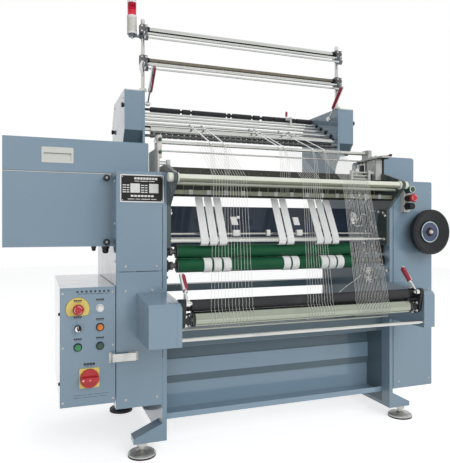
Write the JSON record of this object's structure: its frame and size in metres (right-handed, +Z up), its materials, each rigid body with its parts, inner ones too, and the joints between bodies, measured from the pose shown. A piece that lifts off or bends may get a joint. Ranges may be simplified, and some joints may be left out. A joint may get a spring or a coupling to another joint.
{
  "type": "crochet knitting machine",
  "caption": "Floor-standing crochet knitting machine with side cabinets, a knitting bay with rollers, a yarn creel, a control box and a handwheel.",
  "frame": {"origin": "floor, at the middle of the bounding box seen from above", "axes": "+X to the right as the operator sees the machine, +Y away from the operator, +Z up"},
  "size_m": [1.684, 0.927, 1.712],
  "materials": {
    "blue_grey_paint": "satin powder coat",
    "navy_paint": "satin paint",
    "olive_paint": "worn satin paint",
    "zinc_plate": "zinc plated",
    "black_plate": "printed, with a bare rim",
    "stainless": "polished",
    "cast_grey": "machined",
    "chrome_roll": "polished",
    "black_rubber": "knurled",
    "green_rubber": "ribbed",
    "grey_plastic": "moulded",
    "red_lens": "ribbed, translucent",
    "red_plastic": "glossy",
    "white_plastic": "glossy",
    "orange_plastic": "glossy",
    "green_plastic": "glossy",
    "dark_green_plastic": "glossy",
    "black_plastic": "glossy",
    "yarn": "cotton"
  },
  "bodies": {
    "machine": {"left_side_frame": "blue_grey_paint", "right_side_frame": "blue_grey_paint", "cross_beam": "navy_paint", "front_beam": "blue_grey_paint", "rear_tie_bar": "blue_grey_paint", "tray_panel": "blue_grey_paint", "levelling_feet": "zinc_plate", "left_cabinet": "blue_grey_paint", "left_covers": "blue_grey_paint", "name_plate": "black_plate", "drive_covers": "blue_grey_paint", "pattern_box": "blue_grey_paint", "right_cabinet": "blue_grey_paint", "right_upper_box": "blue_grey_paint", "feed_columns": "blue_grey_paint", "feed_boxes": "blue_grey_paint", "link_cases": "cast_grey", "creel_arms": "cast_grey", "creel_rods": "stainless", "front_tube": "stainless", "side_arms": "cast_grey", "needle_bed": "olive_paint", "guide_rods": "stainless", "roll_bearings": "cast_grey", "lamp_base": "grey_plastic", "lamp_lens": "red_lens", "station_box": "grey_plastic", "main_motor": "cast_grey", "yarns": "yarn", "fabric_strips": "yarn"},
    "control_box": {"control_box": "blue_grey_paint", "control_panel": "blue_grey_paint"},
    "latch": {"toggle_lever": "chrome_roll"},
    "hood": {"pattern_hood": "blue_grey_paint", "hood_handle": "stainless"},
    "white_button": {"white_button": "white_plastic"},
    "orange_button": {"orange_button": "orange_plastic"},
    "green_button": {"green_button": "green_plastic"},
    "dark_green_button": {"dark_green_button": "dark_green_plastic"},
    "stop_button": {"stop_button": "red_plastic"},
    "speed_knob": {"speed_knob": "black_plastic"},
    "main_switch": {"main_switch": "red_plastic"},
    "station_start": {"station_start": "green_plastic"},
    "station_stop": {"station_stop": "red_plastic"},
    "station_jog": {"station_jog": "black_plastic"},
    "handwheel": {"handwheel": "black_plastic"},
    "take_off_roll": {"take_off_roll": "chrome_roll"},
    "press_roll": {"press_roll": "black_rubber"},
    "upper_green_roller": {"upper_green_roller": "green_rubber"},
    "lower_green_roller": {"lower_green_roller": "green_rubber"},
    "feed_roller": {"feed_roller": "stainless"},
    "grooved_roller": {"grooved_roller": "cast_grey"},
    "segmented_roller": {"segmented_roller": "black_rubber"},
    "lower_left_lever": {"lower_left_lever": "red_plastic"},
    "lower_right_lever": {"lower_right_lever": "red_plastic"},
    "upper_left_lever": {"upper_left_lever": "red_plastic"},
    "upper_right_lever": {"upper_right_lever": "red_plastic"},
    "small_lever": {"small_lever": "red_plastic"},
    "needle_bar": {"needle_bar": "cast_grey"},
    "weft_bar": {"weft_bar": "cast_grey"}
  },
  "joints": [
    {"name": "control_box_swing", "type": "hinge", "parent": "machine", "child": "control_box", "pos_m": [-0.4983, 0.2328, 0.3865], "axis": [0, 0, 1], "range_deg": [-100, 0]},
    {"name": "latch_swing", "type": "hinge", "parent": "control_box", "child": "latch", "pos_m": [-0.5, -0.2775, 0.345], "axis": [0, 0, 1], "range_deg": [-110, 0]},
    {"name": "hood_swing", "type": "hinge", "parent": "machine", "child": "hood", "pos_m": [-0.601, 0.0698, 0.9615], "axis": [1, 0, 0], "range_deg": [-50, 0]},
    {"name": "white_press", "type": "slide", "parent": "control_box", "child": "white_button", "axis": [0, 1, 0], "range_m": [0, 0.004], "stiffness_N_per_m": 600},
    {"name": "orange_press", "type": "slide", "parent": "control_box", "child": "orange_button", "axis": [0, 1, 0], "range_m": [0, 0.004], "stiffness_N_per_m": 600},
    {"name": "green_press", "type": "slide", "parent": "control_box", "child": "green_button", "axis": [0, 1, 0], "range_m": [0, 0.004], "stiffness_N_per_m": 600},
    {"name": "dark_green_press", "type": "slide", "parent": "control_box", "child": "dark_green_button", "axis": [0, 1, 0], "range_m": [0, 0.004], "stiffness_N_per_m": 600},
    {"name": "stop_press", "type": "slide", "parent": "control_box", "child": "stop_button", "axis": [0, 1, 0], "range_m": [0, 0.004], "stiffness_N_per_m": 1500},
    {"name": "speed_turn", "type": "hinge", "parent": "control_box", "child": "speed_knob", "pos_m": [-0.612, -0.2685, 0.448], "axis": [0, 1, 0], "range_deg": [-135, 135]},
    {"name": "main_switch_turn", "type": "hinge", "parent": "control_box", "child": "main_switch", "pos_m": [-0.576, -0.2685, 0.286], "axis": [0, 1, 0], "range_deg": [0, 90]},
    {"name": "station_start_press", "type": "slide", "parent": "machine", "child": "station_start", "axis": [0, 1, 0], "range_m": [0, 0.004], "stiffness_N_per_m": 600},
    {"name": "station_stop_press", "type": "slide", "parent": "machine", "child": "station_stop", "axis": [0, 1, 0], "range_m": [0, 0.004], "stiffness_N_per_m": 1500},
    {"name": "station_jog_press", "type": "slide", "parent": "machine", "child": "station_jog", "axis": [0, 1, 0], "range_m": [0, 0.004], "stiffness_N_per_m": 600},
    {"name": "handwheel_turn", "type": "hinge", "parent": "machine", "child": "handwheel", "pos_m": [0.752, -0.2655, 0.755], "axis": [0, 1, 0], "continuous": true},
    {"name": "take_off_turn", "type": "hinge", "parent": "machine", "child": "take_off_roll", "pos_m": [0.1405, -0.4255, 0.482], "axis": [1, 0, 0], "continuous": true},
    {"name": "press_roll_turn", "type": "hinge", "parent": "machine", "child": "press_roll", "pos_m": [0.1405, -0.41502, 0.52401], "axis": [1, 0, 0], "continuous": true},
    {"name": "upper_green_turn", "type": "hinge", "parent": "machine", "child": "upper_green_roller", "pos_m": [0.1405, -0.2095, 0.687], "axis": [1, 0, 0], "continuous": true},
    {"name": "lower_green_turn", "type": "hinge", "parent": "machine", "child": "lower_green_roller", "pos_m": [0.1405, -0.21823, 0.63746], "axis": [1, 0, 0], "continuous": true},
    {"name": "feed_roller_turn", "type": "hinge", "parent": "machine", "child": "feed_roller", "pos_m": [0.1405, 0.1345, 1.179], "axis": [1, 0, 0], "continuous": true},
    {"name": "grooved_roller_turn", "type": "hinge", "parent": "machine", "child": "grooved_roller", "pos_m": [0.1405, 0.1325, 1.1552], "axis": [1, 0, 0], "continuous": true},
    {"name": "segmented_roller_turn", "type": "hinge", "parent": "machine", "child": "segmented_roller", "pos_m": [0.1405, 0.3545, 1.315], "axis": [1, 0, 0], "continuous": true},
    {"name": "lower_left_lever_swing", "type": "hinge", "parent": "machine", "child": "lower_left_lever", "pos_m": [-0.297, -0.4495, 0.536], "axis": [1, 0, 0], "range_deg": [0, 60]},
    {"name": "lower_right_lever_swing", "type": "hinge", "parent": "machine", "child": "lower_right_lever", "pos_m": [0.578, -0.4495, 0.536], "axis": [1, 0, 0], "range_deg": [0, 60]},
    {"name": "upper_left_lever_swing", "type": "hinge", "parent": "machine", "child": "upper_left_lever", "pos_m": [-0.298, 0.1585, 1.292], "axis": [1, 0, 0], "range_deg": [0, 50]},
    {"name": "upper_right_lever_swing", "type": "hinge", "parent": "machine", "child": "upper_right_lever", "pos_m": [0.579, 0.1585, 1.292], "axis": [1, 0, 0], "range_deg": [0, 50]},
    {"name": "small_lever_swing", "type": "hinge", "parent": "machine", "child": "small_lever", "pos_m": [0.4365, 0.3265, 1.314], "axis": [1, 0, 0], "range_deg": [0, 60]},
    {"name": "needle_bar_stroke", "type": "slide", "parent": "machine", "child": "needle_bar", "axis": [0, 1, 0], "range_m": [0, 0.012]},
    {"name": "weft_bar_stroke", "type": "slide", "parent": "machine", "child": "weft_bar", "axis": [1, 0, 0], "range_m": [-0.015, 0.015]}
  ],
  "couplings": [
    {"joint": "press_roll_turn", "follows": "take_off_turn", "ratio": -1.2632},
    {"joint": "lower_green_turn", "follows": "upper_green_turn", "ratio": -1},
    {"joint": "grooved_roller_turn", "follows": "feed_roller_turn", "ratio": -1.6111}
  ]
}
